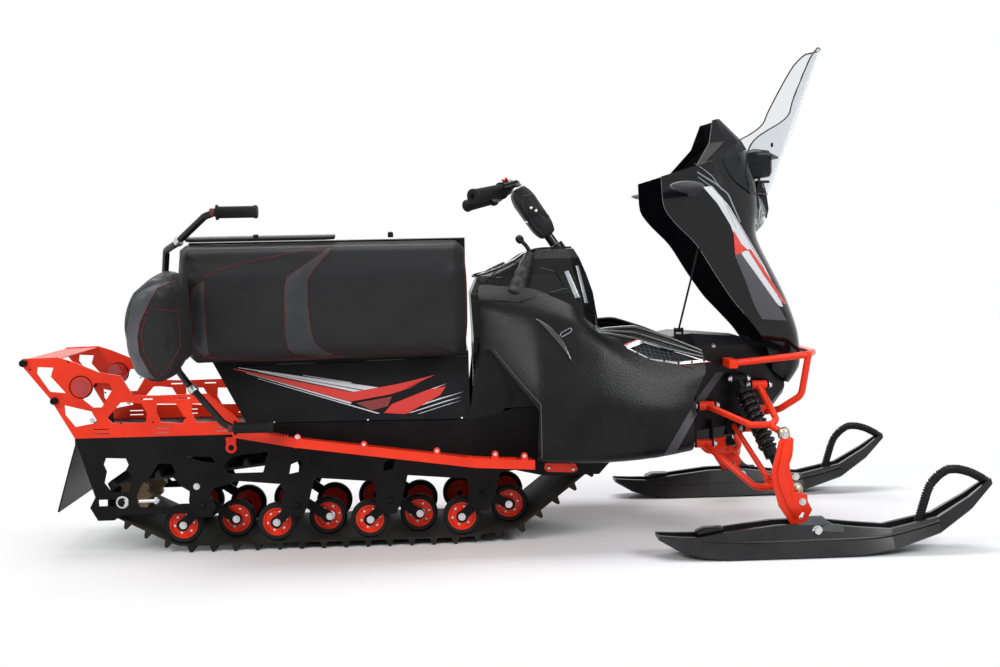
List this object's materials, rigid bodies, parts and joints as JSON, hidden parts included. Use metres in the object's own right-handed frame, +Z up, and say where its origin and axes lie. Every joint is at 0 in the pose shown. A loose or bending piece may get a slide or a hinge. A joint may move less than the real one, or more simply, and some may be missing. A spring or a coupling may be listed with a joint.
{
  "type": "snowmobile",
  "caption": "Utility snowmobile with a rear rack, its hood tilted forward on a prop rod and its seat swung open over the storage box.",
  "frame": {"origin": "on the ground, on the centre plane, under the middle of the track's flat run", "axes": "+X forwards, +Y to the rider's left, +Z up"},
  "size_m": [2.6909, 1.0571, 1.43],
  "materials": {
    "red_paint": "gloss",
    "black_paint": "satin",
    "black_plastic": "textured",
    "gloss_black_plastic": "gloss",
    "black_rubber": "matt",
    "track_rubber": "matt",
    "tyre_rubber": "matt",
    "cushion_vinyl": "grained",
    "tan_plastic": "matt",
    "bare_steel": "satin",
    "cast_block": "cast",
    "red_lens": "gloss",
    "clear_lens": "clear",
    "windshield_clear": "clear"
  },
  "bodies": {
    "chassis": {"track": "track_rubber", "roller_tyres": "tyre_rubber", "roller_discs": "red_paint", "bogie_arms": "black_paint", "sprockets": "tan_plastic", "axles": "bare_steel", "side_plate_right": "black_paint", "side_plate_left": "black_paint", "tunnel_roof": "black_paint", "mud_flap": "black_plastic", "storage_box": "black_plastic", "seat_hinge": "black_paint", "rack_side_right": "red_paint", "rack_side_left": "red_paint", "rack_rods": "black_paint", "rack_tail_panel": "red_paint", "tail_lamps": "red_lens", "tow_hitch": "black_paint", "running_board_right": "red_paint", "running_board_left": "red_paint", "side_cowl_right": "black_plastic", "side_cowl_left": "black_plastic", "vent_grilles": "gloss_black_plastic", "engine": "cast_block", "belly_pan": "black_plastic", "engine_bay_cover": "black_plastic", "hood_hinge": "black_paint", "dash_console": "black_plastic", "bumper": "red_paint", "upper_arms": "red_paint", "lower_arms": "red_paint", "shocks": "black_paint", "suspension_brackets": "black_paint", "prop_bracket": "black_paint"},
    "handlebars": {"steering_column": "cushion_vinyl", "handlebar": "black_paint", "handlebar_grips": "black_rubber", "hand_controls": "black_plastic"},
    "ski_right_assembly": {"spindle_right": "red_paint", "ski_right": "black_plastic"},
    "ski_left_assembly": {"spindle_left": "red_paint", "ski_left": "black_plastic"},
    "tie_rod_right_body": {"tie_rod_right": "red_paint"},
    "tie_rod_left_body": {"tie_rod_left": "red_paint"},
    "hood": {"hood_shell": "gloss_black_plastic", "instrument_shroud": "black_plastic", "headlamp": "clear_lens", "windshield": "windshield_clear", "mirrors": "gloss_black_plastic"},
    "prop_rod_body": {"prop_rod": "bare_steel"},
    "seat": {"seat_base": "black_plastic", "seat_cushion": "cushion_vinyl", "backrest": "cushion_vinyl", "passenger_handle": "black_paint", "passenger_grips": "black_rubber"}
  },
  "joints": [
    {"name": "steer", "type": "hinge", "parent": "chassis", "child": "handlebars", "pos_m": [0.64, 0, 0.953], "axis": [-0.5592, 0, 0.829], "range_deg": [-30, 30]},
    {"name": "ski_right_turn", "type": "hinge", "parent": "chassis", "child": "ski_right_assembly", "pos_m": [1.335, -0.352, 0.165], "axis": [-0.2147, 0, 0.9767], "range_deg": [-28, 28]},
    {"name": "ski_left_turn", "type": "hinge", "parent": "chassis", "child": "ski_left_assembly", "pos_m": [1.335, 0.352, 0.165], "axis": [-0.2147, 0, 0.9767], "range_deg": [-28, 28]},
    {"name": "tie_rod_right_slide", "type": "slide", "parent": "chassis", "child": "tie_rod_right_body", "axis": [0, 1, 0], "range_m": [-0.034, 0.034]},
    {"name": "tie_rod_left_slide", "type": "slide", "parent": "chassis", "child": "tie_rod_left_body", "axis": [0, 1, 0], "range_m": [-0.034, 0.034]},
    {"name": "hood_open", "type": "hinge", "parent": "chassis", "child": "hood", "pos_m": [1.4, 0, 0.5], "axis": [0, 1, 0], "range_deg": [-33, 0]},
    {"name": "prop_rod_fold", "type": "hinge", "parent": "chassis", "child": "prop_rod_body", "pos_m": [1.045, -0.16, 0.606], "axis": [1, 0, 0], "range_deg": [-88, 0]},
    {"name": "seat_open", "type": "hinge", "parent": "chassis", "child": "seat", "pos_m": [0, -0.174, 0.562], "axis": [1, 0, 0], "range_deg": [-105, 0]}
  ],
  "couplings": [
    {"joint": "ski_right_turn", "follows": "steer", "ratio": 0.9333},
    {"joint": "ski_left_turn", "follows": "steer", "ratio": 0.9333},
    {"joint": "tie_rod_right_slide", "follows": "steer", "m_per_rad": -0.0646},
    {"joint": "tie_rod_left_slide", "follows": "steer", "m_per_rad": -0.0646},
    {"joint": "prop_rod_fold", "follows": "hood_open", "ratio": 2.66}
  ]
}
